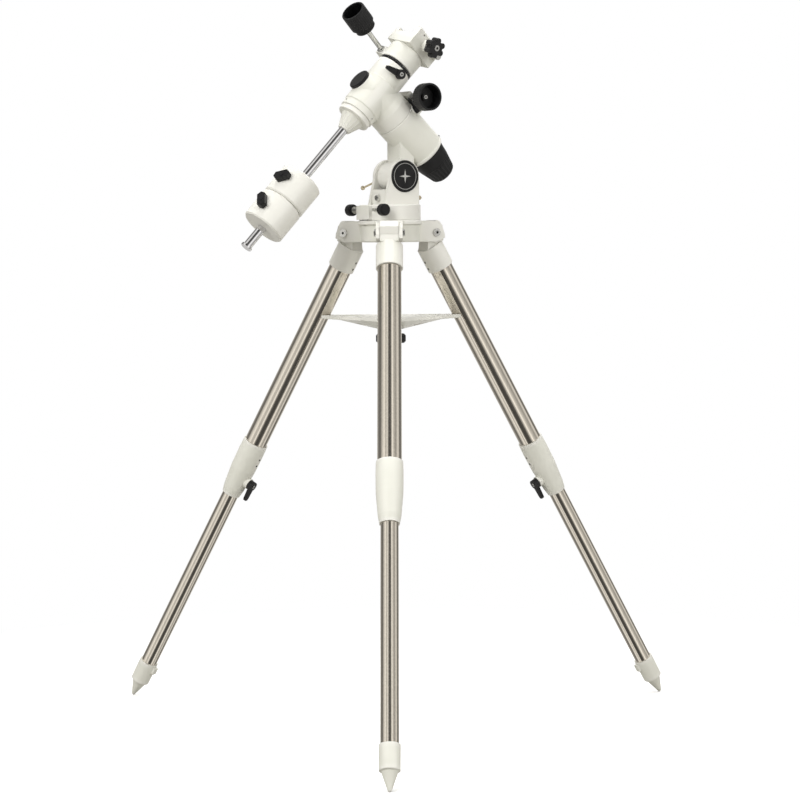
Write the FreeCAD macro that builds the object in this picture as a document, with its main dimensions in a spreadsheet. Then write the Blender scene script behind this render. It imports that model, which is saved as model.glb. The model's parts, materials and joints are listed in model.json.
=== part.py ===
import FreeCAD, Part
import os
import re
import Sketcher

os.makedirs("parts", exist_ok=True)
doc = FreeCAD.newDocument("equatorial_mount")

# ---------------------------------------------------------------- sizes, mm and degrees
SIZES = {
    # tripod head
    "hub_low": 1054, "hub_top": 1101, "hub_radius": 64, "rim_radius": 70, "rim_low": 1093,
    "hinge_reach": 100, "hinge_height": 1074.3, "ear_gap": 41.2, "ear_width": 57.2,
    "hinge_bolt": 4, "bolt_head": 8.5, "rod_radius": 5, "rod_low": 831, "rod_top": 1116,
    "fit": 0.05, "gap": 0.2,
    # legs, lengths measured down the leg from the hinge
    "leg_tilt": 30.36, "leg_inset": 15.4, "tongue_width": 40.6, "tongue_radius": 17,
    "collar_top": 24, "collar_end": 79, "collar_radius": 29, "tube_start": 30,
    "tube_radius": 25.4, "tube_wall": 1.5, "tube_end": 566,
    "clamp_top": 533.3, "clamp_end": 671.4, "inner_radius": 18.5, "inner_top": 476,
    "inner_end": 1186, "foot_top": 1140, "cone_top": 1195, "tip_ball": 5,
    "tip_centre": 1230.2, "lever_down": 627, "boss_radius": 12.5, "boss_out": 33,
    "screw_radius": 2.2,
    # tray
    "tray_low": 886.4, "tray_top": 894, "tray_reach": 166, "tray_tip": 40, "tray_bottom": 865,
    "dish_radius": 62, "cradle_radius": 26.2, "knob_low": 835, "knob_top": 855,
    "tray_knob": 32,
    # azimuth base and fork, in the frame turned with the head
    "head_turn": 33.8, "drum_radius": 67, "drum_top": 1135, "peg_reach": 58, "peg_radius": 6,
    "stud_height": 1124, "stud_radius": 4, "stud_end": 66, "az_knob": 12.5,
    "az_knob_in": 55, "az_knob_out": 75, "cheek_in": 25, "cheek_out": 35,
    "alt_x": 16.5, "alt_z": 1196, "cheek_radius": 37, "cover_radius": 34.5,
    "pivot_radius": 6, "push_height": 1150, "tail_north": 10, "tail_south": 23,
    # right ascension axis, heights along the pole from the declination axis
    "latitude": 42.7, "hour_angle": 4.3, "rise": 90.5, "reach": 161.7,
    "seam": 75, "housing_radius": 46.7, "housing_end": 182, "stub_radius": 46,
    "polar_shaft": 15, "worm_out": 54, "worm_down": 69, "worm_radius": 5.6,
    "worm_shaft": 3.5, "worm_half": 12, "sleeve_radius": 5.2, "cup_radius": 29.5,
    "ra_knob_low": 60, "knob_floor": 9,
    # declination axis
    "saddle_turn": 11.5, "dec_radius": 42, "dec_neck": 39.5, "dec_shaft": 12,
    "circle_low": 75.2, "circle_top": 83, "saddle_low": 83.3, "saddle_radius": 39,
    "slot_floor": 150, "near_jaw": 171, "far_jaw": 157, "slot_half": 22,
    "cw_radius": 10, "cw_end": 445, "weight_radius": 48, "weight_length": 69,
    "lower_weight": 388, "upper_weight": 318, "dec_cup": 27,
    "dec_worm_side": 48, "dec_worm_up": 101, "dec_knob_low": 90, "weight_knob_turn": 205,
}
sheet = doc.addObject("Spreadsheet::Sheet", "sizes")
for row, (alias, value) in enumerate(SIZES.items(), 1):
    sheet.set("A%d" % row, alias)
    sheet.set("B%d" % row, str(value))
    sheet.setAlias("B%d" % row, alias)
doc.recompute()

Vector = FreeCAD.Vector
ALONG = {
    "+x": FreeCAD.Rotation(Vector(0, 1, 0), 90),
    "-x": FreeCAD.Rotation(Vector(0, 1, 0), -90),
    "+y": FreeCAD.Rotation(Vector(1, 0, 0), -90),
    "-y": FreeCAD.Rotation(Vector(1, 0, 0), 90),
    "+z": FreeCAD.Rotation(),
    "-z": FreeCAD.Rotation(Vector(1, 0, 0), 180),
}


def bound(text):
    """Write a formula so that every size name points at the sheet."""
    def reference(hit):
        word = hit.group(0)
        return "sizes." + word if word in SIZES else word
    return re.sub(r"[a-z_][a-z_0-9]*", reference, str(text))


def size(text):
    """Work out a formula of size names."""
    value = sheet.evalExpression(bound(text))
    return float(getattr(value, "Value", value))


def bind(item, **formulas):
    for prop, text in formulas.items():
        item.setExpression(prop, bound(text))


def seat(item, at, turn="+z"):
    """Put a tool shape at a point given by formulas, pointing along one axis."""
    item.Placement = FreeCAD.Placement(Vector(*[size(text) for text in at]), ALONG[turn])
    for axis, text in zip("xyz", at):
        item.setExpression("Placement.Base." + axis, bound(text))
    return item


def rod(name, radius, length, at=("0", "0", "0"), turn="+z"):
    item = doc.addObject("Part::Cylinder", name)
    bind(item, Radius=radius, Height=length)
    return seat(item, at, turn)


def carry(item, frame):
    """Move a seated tool shape into another frame."""
    for axis in "xyz":
        item.setExpression("Placement.Base." + axis, None)
    item.Placement = frame.multiply(item.Placement)
    return item


def block(name, wide, deep, high, at):
    """Box centred on x and y, standing on its lower face."""
    item = doc.addObject("Part::Box", name)
    bind(item, Length=wide, Width=deep, Height=high)
    return seat(item, ("%s-(%s)/2" % (at[0], wide), "%s-(%s)/2" % (at[1], deep), at[2]))


def fuse(name, *pieces):
    item = doc.addObject("Part::MultiFuse", name)
    item.Shapes = list(pieces)
    item.Refine = True
    return item


def cut(name, base, *tools):
    item = doc.addObject("Part::Cut", name)
    item.Base = base
    item.Tool = tools[0] if len(tools) == 1 else fuse(name + "_tools", *tools)
    return item


def group(name, *pieces):
    item = doc.addObject("Part::Compound", name)
    item.Links = list(pieces)
    return item


def plane_of(body, role):
    return [item for item in body.Origin.OriginFeatures if item.Role == role][0]


def outline(body, name, points, role="XY_Plane", lift="0"):
    """Closed sketch through corner points given as pairs of formulas."""
    sketch = body.newObject("Sketcher::SketchObject", name)
    sketch.AttachmentSupport = [(plane_of(body, role), "")]
    sketch.MapMode = "FlatFace"
    sketch.setExpression("AttachmentOffset.Base.z", bound(lift))
    corners = [Vector(size(a), size(b), 0) for a, b in points]
    for index, corner in enumerate(corners):
        after = corners[(index + 1) % len(corners)]
        sketch.addGeometry(Part.LineSegment(corner, after), False)
    for index, (a, b) in enumerate(points):
        after = (index + 1) % len(corners)
        sketch.addConstraint(Sketcher.Constraint("Coincident", index, 2, after, 1))
        for kind, text in (("DistanceX", a), ("DistanceY", b)):
            place = Sketcher.Constraint(kind, -1, 1, index, 1, size(text))
            number = sketch.addConstraint(place)
            sketch.setExpression("Constraints[%d]" % number, bound(text))
    return sketch


def circles(body, name, rings, role="XY_Plane", lift="0"):
    """Sketch of circles given as centre and radius formulas."""
    sketch = body.newObject("Sketcher::SketchObject", name)
    sketch.AttachmentSupport = [(plane_of(body, role), "")]
    sketch.MapMode = "FlatFace"
    sketch.setExpression("AttachmentOffset.Base.z", bound(lift))
    for index, (a, b, radius) in enumerate(rings):
        centre = Vector(size(a), size(b), 0)
        sketch.addGeometry(Part.Circle(centre, Vector(0, 0, 1), size(radius)), False)
        for kind, text in (("DistanceX", a), ("DistanceY", b)):
            place = Sketcher.Constraint(kind, -1, 1, index, 3, size(text))
            number = sketch.addConstraint(place)
            sketch.setExpression("Constraints[%d]" % number, bound(text))
        number = sketch.addConstraint(Sketcher.Constraint("Radius", index, size(radius)))
        sketch.setExpression("Constraints[%d]" % number, bound(radius))
    return sketch


def new_body(name):
    return doc.addObject("PartDesign::Body", name)


def lathe(name, profile):
    """Body of revolution about z from radius and height formulas."""
    body = new_body(name)
    sketch = outline(body, name + "_profile", profile, "XZ_Plane")
    spin = body.newObject("PartDesign::Revolution", name + "_turned")
    spin.Profile = sketch
    spin.ReferenceAxis = (sketch, ["V_Axis"])
    spin.Angle = 360
    return body


def pad(body, sketch, length, symmetric=False):
    item = body.newObject("PartDesign::Pad", sketch.Name + "_pad")
    item.Profile = sketch
    bind(item, Length=length)
    if symmetric:
        item.SideType = "Symmetric"
    return item


def pocket(body, sketch, length, symmetric=False, flip=False):
    item = body.newObject("PartDesign::Pocket", sketch.Name + "_pocket")
    item.Profile = sketch
    bind(item, Length=length)
    item.Reversed = flip
    if symmetric:
        item.SideType = "Symmetric"
    return item


def thirds(body, *features):
    """Repeat features three times about the z axis."""
    item = body.newObject("PartDesign::PolarPattern", body.Name + "_thirds")
    item.Originals = list(features)
    item.Axis = (plane_of(body, "Z_Axis"), [""])
    item.Angle = 360
    item.Occurrences = 3
    body.Tip = item
    return item


def prism(name, points, width, role="XZ_Plane"):
    """Symmetric plate of one outline."""
    body = new_body(name)
    pad(body, outline(body, name + "_outline", points, role), width, True)
    return body


parts = []


def finish(item, label, frame):
    item.Label = label
    item.Placement = frame
    parts.append(item)
    return item


def place(x=0, y=0, z=0, axis=(0, 0, 1), angle=0):
    return FreeCAD.Placement(Vector(x, y, z), FreeCAD.Rotation(Vector(*axis), angle))


def pointing(x, y, z, turn):
    return FreeCAD.Placement(Vector(x, y, z), ALONG[turn])


# ---------------------------------------------------------------- frames
FLOOR = place()
HEAD = place(angle=size("head_turn"))
POLE_X = "alt_x+rise*sin(latitude)-reach*cos(latitude)"
POLE_Z = "alt_z+rise*cos(latitude)+reach*sin(latitude)"
POLAR = place(size(POLE_X), 0, size(POLE_Z), (0, 1, 0), size("latitude-90"))
RA = HEAD.multiply(POLAR)
RA_TURNED = RA.multiply(place(angle=-size("hour_angle")))
DEC = RA_TURNED.multiply(place(axis=(0, 1, 0), angle=90))
SADDLE = DEC.multiply(place(angle=size("saddle_turn")))


def leg_frame(azimuth):
    """Origin on the hinge, z down the leg, x outward, y along the hinge bolt."""
    around = place(angle=azimuth)
    hinge = place(size("hinge_reach"), 0, size("hinge_height"))
    down = FreeCAD.Rotation(Vector(0, 1, 0), 180 - size("leg_tilt"))
    mirror = FreeCAD.Rotation(Vector(0, 0, 1), 180)
    return around.multiply(hinge).multiply(FreeCAD.Placement(Vector(), down.multiply(mirror)))


LEGS = {"a": leg_frame(-90), "b": leg_frame(30), "c": leg_frame(150)}
TO_FRONT = place(angle=-90)

# ---------------------------------------------------------------- tripod head
hub = lathe("hub_casting", [
    ("rod_radius+fit", "hub_low"), ("hub_radius-3", "hub_low"), ("hub_radius", "hub_low+3"),
    ("hub_radius", "rim_low-2"), ("rim_radius", "rim_low"), ("rim_radius", "hub_top-2"),
    ("rim_radius-2", "hub_top"), ("rod_radius+fit", "hub_top"),
])
ear = pad(hub, outline(hub, "ear", [
    ("hub_radius-24", "hub_low"), ("hinge_reach+1", "hub_low"), ("hinge_reach+22", "hub_low+9"),
    ("hinge_reach+21", "hub_top-29"), ("hinge_reach+15.5", "hub_top-15"),
    ("hinge_reach+6", "hub_top-6"), ("hinge_reach-8", "hub_top-1"), ("hub_radius-24", "hub_top-1"),
], "XZ_Plane"), "ear_width", True)
slot = pocket(hub, outline(hub, "tongue_slot", [
    ("hub_radius+8", "hub_low-5"), ("hinge_reach+40", "hub_low-5"),
    ("hinge_reach+40", "hub_top+5"), ("hub_radius+8", "hub_top+5"),
], "XZ_Plane"), "ear_gap", True)
bolt_hole = pocket(hub, circles(hub, "bolt_hole", [
    ("hinge_reach", "hinge_height", "hinge_bolt+fit"),
], "XZ_Plane"), "ear_width+10", True)
thirds(hub, ear, slot, bolt_hole)
hub.Placement = TO_FRONT
PEG_X = "-peg_reach*cos(head_turn)"
PEG_Y = "-peg_reach*sin(head_turn)"
peg_hole = rod("peg_hole", "peg_radius+fit", "20", (PEG_X, PEG_Y, "rim_low-3"))
finish(cut("tripod_hub_cut", hub, peg_hole), "tripod_hub", FLOOR)

bolts = []
for index in range(3):
    shank = rod("hinge_shank_%d" % index, "hinge_bolt", "ear_width+8", ("0", "0", "0"), "+y")
    shank.setExpression("Placement.Base.y", bound("-ear_width/2-4"))
    ends = [rod("hinge_head_%d%s" % (index, side), "bolt_head", "4",
                ("0", "%s(ear_width/2+fit)" % sign, "0"), turn)
            for side, sign, turn in (("n", "-", "-y"), ("p", "", "+y"))]
    bolt = fuse("hinge_bolt_%d" % index, shank, *ends)
    turned = place(angle=120 * index - 90)
    bolt.Placement = turned.multiply(place(size("hinge_reach"), 0, size("hinge_height")))
    bolts.append(bolt)
finish(group("hinge_bolt_set", *bolts), "hinge_bolts", FLOOR)

finish(lathe("rod_turned", [
    ("0", "rod_low"), ("rod_radius-1", "rod_low"), ("rod_radius", "rod_low+1"),
    ("rod_radius", "rod_top"), ("0", "rod_top"),
]), "tray_rod", FLOOR)

finish(lathe("peg_turned", [
    ("0", "rim_low-2.9"), ("peg_radius", "rim_low-2.9"), ("peg_radius", "drum_top-5"),
    ("peg_radius-1", "drum_top-4"), ("0", "drum_top-4"),
]), "azimuth_peg", place(size(PEG_X), size(PEG_Y), 0))

# ---------------------------------------------------------------- legs
def lever(name, radius, height, length, width, stud_radius, stud_length):
    """Clamp lever: hub on z, arm along x, stud below the hub."""
    hub_disc = rod(name + "_hub", radius, height)
    arm = new_body(name + "_arm")
    pad(arm, outline(arm, name + "_arm_outline", [
        ("0", "-(%s)*0.8" % radius), ("%s-4" % length, "-(%s)/2" % width),
        (length, "-(%s)/3" % width), (length, "(%s)/3" % width),
        ("%s-4" % length, "(%s)/2" % width), ("0", "(%s)*0.8" % radius),
    ], lift="(%s)*0.3" % height), "(%s)*0.55" % height)
    stud = rod(name + "_stud", stud_radius, "%s+1" % stud_length, ("0", "0", "-(%s)" % stud_length))
    return fuse(name + "_lever", hub_disc, arm, stud)


def side_screws(name, extra):
    """Four small screws down the inner side of a leg; extra widens them into holes."""
    spots = (("collar_radius", "collar_end-28"), ("collar_radius", "collar_end-12"),
             ("collar_radius-0.4", "clamp_top+32"), ("collar_radius-0.4", "clamp_top+48"))
    return [rod("%s_%d" % (name, index), "screw_radius+(%s)" % extra, "3.4+(%s)*4" % extra,
                ("-leg_inset-(%s)+2.9+(%s)*2" % (out, extra), "0", down), "-x")
            for index, (out, down) in enumerate(spots)]


for name, frame in LEGS.items():
    leg = "leg_" + name
    collar = lathe(leg + "_collar", [
        ("0", "collar_top"), ("collar_radius", "collar_top"),
        ("collar_radius", "collar_end-1"), ("collar_radius-1", "collar_end"),
        ("tube_radius+fit", "collar_end"), ("tube_radius+fit", "tube_start"), ("0", "tube_start"),
    ])
    collar.setExpression("Placement.Base.x", bound("-leg_inset"))
    tongue = prism(leg + "_tongue", [
        ("-tongue_radius", "0"), ("-leg_inset-20.6", "collar_top+2"),
        ("-leg_inset+collar_radius-2", "collar_top+2"), ("tongue_radius", "0"),
    ], "tongue_width")
    knuckle = rod(leg + "_knuckle", "tongue_radius", "tongue_width",
                  ("0", "-tongue_width/2", "0"), "+y")
    hinge_hole = rod(leg + "_hinge_hole", "hinge_bolt+fit", "60", ("0", "-30", "0"), "+y")
    holes = side_screws(leg + "_hole", "fit")
    bracket = cut(leg + "_bracket_cut", fuse(leg + "_bracket_blank", collar, tongue, knuckle),
                  hinge_hole, *holes[:2])
    finish(bracket, leg + "_bracket", frame)

    on_tube = frame.multiply(place(-size("leg_inset"), 0, 0))
    finish(lathe(leg + "_tube_turned", [
        ("tube_radius-tube_wall", "tube_start+fit"), ("tube_radius", "tube_start+fit"),
        ("tube_radius", "tube_end"), ("tube_radius-tube_wall", "tube_end"),
    ]), leg + "_tube", on_tube)

    casting = lathe(leg + "_clamp_turned", [
        ("tube_radius+fit", "clamp_top"), ("tube_radius+2.8", "clamp_top"),
        ("tube_radius+3.5", "clamp_top+28"), ("tube_radius+2.9", "clamp_top+70"),
        ("tube_radius-1.2", "clamp_top+120"), ("tube_radius-4.5", "clamp_end"),
        ("inner_radius+fit", "clamp_end"),
        ("inner_radius+fit", "tube_end+1"), ("tube_radius+fit", "tube_end+1"),
    ])
    casting.setExpression("Placement.Base.x", bound("-leg_inset"))
    boss = rod(leg + "_boss", "boss_radius", "boss_out-22",
               ("-leg_inset-22", "0", "lever_down"), "-x")
    stud_hole = rod(leg + "_stud_hole", "3+fit", "15",
                    ("-leg_inset-19.6", "0", "lever_down"), "-x")
    clamp = cut(leg + "_clamp_cut", fuse(leg + "_clamp_blank", casting, boss), stud_hole, *holes[2:])
    finish(clamp, leg + "_clamp", frame)
    finish(group(leg + "_screw_set", *side_screws(leg + "_screw", "0")), leg + "_screws", frame)

    finish(lathe(leg + "_inner_turned", [
        ("inner_radius-tube_wall", "inner_top"), ("inner_radius", "inner_top"),
        ("inner_radius", "inner_end"), ("inner_radius-tube_wall", "inner_end"),
    ]), leg + "_inner_tube", on_tube)
    shoe = lathe(leg + "_shoe", [
        ("inner_radius+fit", "foot_top"), ("inner_radius+3.3", "foot_top"),
        ("inner_radius+2.8", "cone_top-2"), ("inner_radius-1.5", "cone_top"),
        ("tip_ball", "tip_centre"), ("tip_ball-1.5", "tip_centre+3.75"),
        ("0", "tip_centre+tip_ball"), ("0", "inner_end+1"), ("inner_radius+fit", "inner_end+1"),
    ])
    lug = block(leg + "_lug", "7", "12", "16", ("-inner_radius-5", "0", "foot_top+4"))
    finish(fuse(leg + "_foot_solid", shoe, lug), leg + "_foot", on_tube)

    on_boss = pointing(size("-leg_inset-boss_out-gap"), 0, size("lever_down"), "-x")
    finish(lever(leg + "_clamp", "11", "12", "38", "11", "3", "11"), leg + "_lever",
           frame.multiply(on_boss))

# ---------------------------------------------------------------- accessory tray
tray = new_body("tray_plate")
corners = []
for step in range(3):
    for side in (-1, 1):
        reach = "tray_reach*cos(%d)" % (120 * step)
        shift = "%d*tray_tip/2*sin(%d)" % (side, 120 * step)
        across = "tray_reach*sin(%d)+%d*tray_tip/2*cos(%d)" % (120 * step, side, 120 * step)
        corners.append(("%s-(%s)" % (reach, shift), across))
pad(tray, outline(tray, "tray_outline", corners, lift="tray_low"), "tray_top-tray_low")
dish = lathe("tray_dish", [
    ("rod_radius+1", "tray_bottom"), ("24", "tray_bottom"), ("dish_radius*2-8", "tray_low+1"),
    ("dish_radius*2-8", "tray_low+3"), ("rod_radius+1", "tray_low+3"),
])
eyepiece = pocket(tray, circles(tray, "eyepiece_hole", [
    ("-70", "0", "16"), ("-88", "52", "5"), ("-88", "-52", "5"),
], lift="tray_top+1"), "30")
recess = pocket(tray, circles(tray, "dish_recess", [
    ("100", "0", "26"),
], lift="tray_top"), "3")
thirds(tray, eyepiece, recess)
tray.Placement = TO_FRONT
through = [rod("tray_through_%d" % step, "16", "60",
               ("70*cos(%d)" % (120 * step + 90), "70*sin(%d)" % (120 * step + 90), "tray_bottom-20"))
           for step in range(3)]
cradles = []
for name, frame in LEGS.items():
    cradle = doc.addObject("Part::Cylinder", "cradle_" + name)
    bind(cradle, Radius="cradle_radius", Height="200")
    cradle.Placement = frame.multiply(place(-size("leg_inset"), 0, 120))
    cradles.append(cradle)
rod_hole = rod("tray_rod_hole", "rod_radius+0.3", "60", ("0", "0", "tray_bottom-10"))
finish(cut("tray_cut", fuse("tray_blank", tray, dish), rod_hole, *(cradles + through)),
       "tray", FLOOR)

finish(lathe("tray_knob_turned", [
    ("rod_radius+fit", "knob_low"), ("tray_knob-3", "knob_low"), ("tray_knob", "knob_low+3"),
    ("tray_knob", "knob_top-3"), ("tray_knob-3", "knob_top"), ("11", "knob_top"),
    ("10", "tray_bottom-gap"), ("rod_radius+fit", "tray_bottom-gap"),
]), "tray_knob", FLOOR)

# ---------------------------------------------------------------- azimuth base and fork
drum = lathe("drum", [
    ("rod_radius+1", "hub_top+gap"), ("drum_radius-1", "hub_top+gap"),
    ("drum_radius", "hub_top+gap+1"), ("drum_radius", "drum_top-2"),
    ("drum_radius-2", "drum_top"), ("0", "drum_top"), ("0", "rod_top+2"),
    ("rod_radius+1", "rod_top+2"),
])
north_pad = block("north_pad", "14", "50", "drum_top-hub_top-4", ("-63", "0", "hub_top+2"))
CHEEK = [
    ("-34", "drum_top-4"), ("-34", "drum_top"), ("-14.6", "alt_z+20"), ("alt_x", "alt_z"),
    ("alt_x+cheek_radius", "alt_z"), ("alt_x+cheek_radius", "drum_top-4"),
]
cheeks = []
for side, sign in (("near", "-"), ("far", "")):
    plate = prism("cheek_" + side, CHEEK, "cheek_out-cheek_in")
    plate.setExpression("Placement.Base.y", bound("%s(cheek_in+cheek_out)/2" % sign))
    dome = rod("cheek_dome_" + side, "cheek_radius", "cheek_out-cheek_in",
               ("alt_x", "%scheek_in" % sign, "alt_z"), "-y" if sign else "+y")
    cheeks += [plate, dome]
web = block("north_web", "10", "cheek_in*2+2", "drum_top-1098", ("-23", "0", "drum_top-4"))
south_block = block("south_block", "12", "cheek_in*2+2", "32", ("44", "0", "drum_top-1"))
peg_pocket = block("peg_pocket", "18", "33", "drum_top-hub_top-3", ("-peg_reach", "0", "hub_top-1"))
stud_hole = rod("azimuth_stud_hole", "stud_radius+fit", "140",
                ("-peg_reach", "-70", "stud_height"), "+y")
pivot_hole = rod("pivot_hole", "pivot_radius+fit", "90", ("alt_x", "-45", "alt_z"), "+y")
push_hole = rod("push_hole", "4+fit", "110", ("-45", "0", "push_height"), "+x")
finish(cut("fork_cut", fuse("fork_blank", drum, north_pad, web, south_block, *cheeks),
           peg_pocket, stud_hole, pivot_hole, push_hole), "fork", HEAD)

on_altitude = place(size("alt_x"), 0, size("alt_z"))
near_face = HEAD.multiply(on_altitude).multiply(pointing(0, -size("cheek_out+fit"), 0, "-y"))
finish(lathe("cover_turned", [
    ("0", "0"), ("cover_radius", "0"), ("cover_radius", "1.6"), ("cover_radius-0.6", "2.2"),
    ("cover_radius-3", "2.2"), ("cover_radius-3.5", "1.8"), ("0", "1.8"),
]), "altitude_cover", near_face)

finish(lathe("altitude_bolt_turned", [
    ("0", "-cheek_out"), ("pivot_radius", "-cheek_out"), ("pivot_radius", "cheek_out+8"),
    ("0", "cheek_out+8"),
]), "altitude_bolt", HEAD.multiply(on_altitude).multiply(pointing(0, 0, 0, "+y")))

studs = []
for side, sign, turn in (("near", "-", "-y"), ("far", "", "+y")):
    shaft = rod("azimuth_shaft_" + side, "stud_radius", "stud_end-peg_radius-0.3",
                ("-peg_reach", "%s(peg_radius+0.3)" % sign, "stud_height"), turn)
    ring = rod("azimuth_ring_" + side, "7.5", "4.4", ("-peg_reach", "%s50.4" % sign, "stud_height"), turn)
    studs.append(fuse("azimuth_stud_" + side, shaft, ring))
    knob_frame = HEAD.multiply(pointing(-size("peg_reach"), 0, size("stud_height"), turn))
    finish(lathe("azimuth_knob_turned_" + side, [
        ("stud_radius+fit", "az_knob_in"), ("az_knob-2", "az_knob_in"),
        ("az_knob", "az_knob_in+2"), ("az_knob", "az_knob_out-3"),
        ("az_knob-3", "az_knob_out"), ("0", "az_knob_out"), ("0", "stud_end+1"),
        ("stud_radius+fit", "stud_end+1"),
    ]), "azimuth_knob_" + side, knob_frame)
finish(group("azimuth_stud_set", *studs), "azimuth_studs", HEAD)

push_line = HEAD.multiply(pointing(0, 0, size("push_height"), "+x"))
finish(lathe("latitude_bolt_turned", [
    ("0", "tail_south+0.9"), ("2", "tail_south+0.9"), ("4", "tail_south+3"), ("4", "67"),
    ("0", "67"),
]), "latitude_bolt", push_line)
bar_hub = rod("bar_hub", "8", "9", ("64", "0", "0"), "+x")
cross_bar = rod("cross_bar", "3.5", "27", ("69", "-13.5", "0"), "+y")
bar_ends = [rod("bar_end_" + side, "4.5", "5", ("69", place_at, "0"), "+y")
            for side, place_at in (("near", "-14.5"), ("far", "9.5"))]
bar_bore = rod("bar_bore", "4+fit", "3.1+1", ("63", "0", "0"), "+x")
finish(cut("latitude_bar_cut", fuse("bar_blank", bar_hub, cross_bar, *bar_ends), bar_bore),
       "latitude_bar", HEAD.multiply(place(z=size("push_height"))))
finish(cut("web_screw_cut", lathe("web_screw_turned", [
    ("0", "15"), ("4", "15"), ("4", "28+fit"), ("6.75", "28+fit"), ("6.75", "34"),
    ("6", "35"), ("0", "35"),
]), rod("hex_socket", "3", "6", ("0", "0", "31"))), "web_screw",
    HEAD.multiply(pointing(0, 0, size("push_height"), "-x")))

clamp_hub = cut("clamp_hub", rod("clamp_hub_disc", "10", "11", ("0", "cheek_out+0.3", "0"), "+y"),
                rod("clamp_hub_bore", "pivot_radius+fit", "8.3", ("0", "cheek_out", "0"), "+y"))
handle = lathe("clamp_handle", [
    ("0", "0"), ("2.2", "0"), ("2.2", "49.4"), ("4.4", "51.1"), ("5", "53.5"), ("4.4", "55.9"),
    ("2.4", "57.8"), ("0", "58.5"),
])
reach_out = FreeCAD.Rotation(Vector(0, 0, 1), Vector(-49.1, 3.5, -20.9))
handle.Placement = FreeCAD.Placement(Vector(-7.4, size("cheek_out+6.5"), -3.1), reach_out)
finish(fuse("altitude_lever_solid", clamp_hub, handle), "altitude_lever",
       HEAD.multiply(on_altitude))

# ---------------------------------------------------------------- right ascension housing
barrel = lathe("housing_barrel", [
    ("polar_shaft+fit", "-housing_end+10"), ("40", "-housing_end+10"), ("40", "-housing_end"),
    ("housing_radius-1.5", "-housing_end"), ("housing_radius", "-housing_end+2"),
    ("housing_radius", "-housing_end+7"), ("housing_radius-0.7", "-housing_end+8"),
    ("housing_radius", "-seam-1"), ("housing_radius-0.7", "-seam-0.1"),
    ("polar_shaft+fit", "-seam-0.1"),
])
worm_box = block("worm_box", "61.5-47.3", "48", "37", ("(61.5+47.3)/2", "0", "-92"))
worm_foot = block("worm_foot", "61.5-30", "40", "30", ("(61.5+30)/2", "0", "-seam-32"))
worm_bore = rod("worm_bore", "worm_shaft+fit", "60", ("worm_out", "-30", "-worm_down"), "+y")
worm_room = rod("worm_room", "worm_radius+0.4", "32", ("worm_out", "-16", "-worm_down"), "+y")
clutch_tilt = FreeCAD.Rotation(Vector(0, 0, 1), -45)
clutch_seat = FreeCAD.Placement(Vector(0, 0, -86), clutch_tilt)
clutch_boss = rod("ra_clutch_boss", "11", "housing_radius+1.5-30", ("30", "0", "0"), "+x")
clutch_hole = rod("ra_clutch_hole", "3+fit", "20", ("housing_radius-8", "0", "0"), "+x")
carry(clutch_boss, clutch_seat)
carry(clutch_hole, clutch_seat)
polar_side = cut("polar_side", fuse("polar_blank", barrel, worm_box, worm_foot, clutch_boss),
                 worm_bore, worm_room, clutch_hole)
polar_side.Placement = POLAR
hinge_boss = rod("hinge_boss", "32", "cheek_in*2-0.6", ("alt_x", "-cheek_in+0.3", "alt_z"), "+y")
neck = block("neck", "37", "cheek_in*2-0.6", "74", ("29.5", "0", "alt_z"))
tail = block("tail", "tail_south-tail_north", "24", "alt_z-push_height+8",
             ("(tail_south+tail_north)/2", "0", "push_height-8"))
core = rod("housing_core", "housing_radius-6", "housing_end-20-seam", ("0", "0", "-housing_end+14"))
carry(core, POLAR)
hinge_bore = rod("hinge_bore", "pivot_radius+fit", "60", ("alt_x", "-30", "alt_z"), "+y")
neck_cut = cut("neck_cut", fuse("neck_blank", hinge_boss, neck, tail), core)
finish(cut("ra_housing_cut", fuse("ra_housing_blank", polar_side, neck_cut), hinge_bore),
       "ra_housing", HEAD)

finish(lathe("polar_cap_turned", [
    ("0", "-252"), ("22", "-252"), ("27", "-248"), ("35", "-216"),
    ("36.5", "-215"), ("42", "-housing_end-0.3"), ("39.7", "-housing_end-0.3"),
    ("39.7", "-housing_end+9"), ("0", "-housing_end+9"),
]), "polar_cap", RA)

clutch_out = FreeCAD.Placement(Vector(size("housing_radius+1.8"), 0, 0), ALONG["+x"])
finish(lever("ra_clutch", "9", "9", "30", "9", "3", "8"), "ra_clutch_lever",
       RA.multiply(clutch_seat).multiply(clutch_out).multiply(place(angle=180)))


def worm(name, sleeve_end, shaft_end):
    """Worm on its shaft along z, drawn as rings, with a sleeve outside the casting."""
    profile = [("0", "-24"), ("worm_shaft", "-24"), ("worm_shaft", "-worm_half")]
    for ring in range(5):
        low = "-worm_half+worm_half*2/5*%d" % ring
        profile += [("worm_radius-1.4", low), ("worm_radius", low + "+worm_half/5")]
    profile += [("worm_radius-1.4", "worm_half"), ("worm_shaft", "worm_half"),
                ("worm_shaft", "27"), ("sleeve_radius", "27"), ("sleeve_radius", sleeve_end),
                ("worm_shaft", sleeve_end), ("worm_shaft", shaft_end), ("0", shaft_end)]
    return lathe(name, profile)


def cup_knob(name, radius, low, neck, long):
    """Hand wheel shaped as a cup on its shaft, with a narrower neck, mouth at the far end."""
    floor = "%s+knob_floor" % low
    mouth = "%s+%s" % (low, long)
    return lathe(name, [
        ("worm_shaft+fit", low), ("%s-6" % radius, low), ("%s-4" % radius, "%s+2" % low),
        ("%s-4" % radius, "%s+%s" % (low, neck)), (radius, "%s+%s+3" % (low, neck)),
        (radius, "%s-1" % mouth), ("%s-1" % radius, mouth), ("%s-4" % radius, mouth),
        ("%s-7" % radius, floor), ("8", floor), ("8", floor + "+5"), ("0", floor + "+5"),
        ("0", floor + "+1"), ("worm_shaft+fit", floor + "+1"),
    ])


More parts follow.
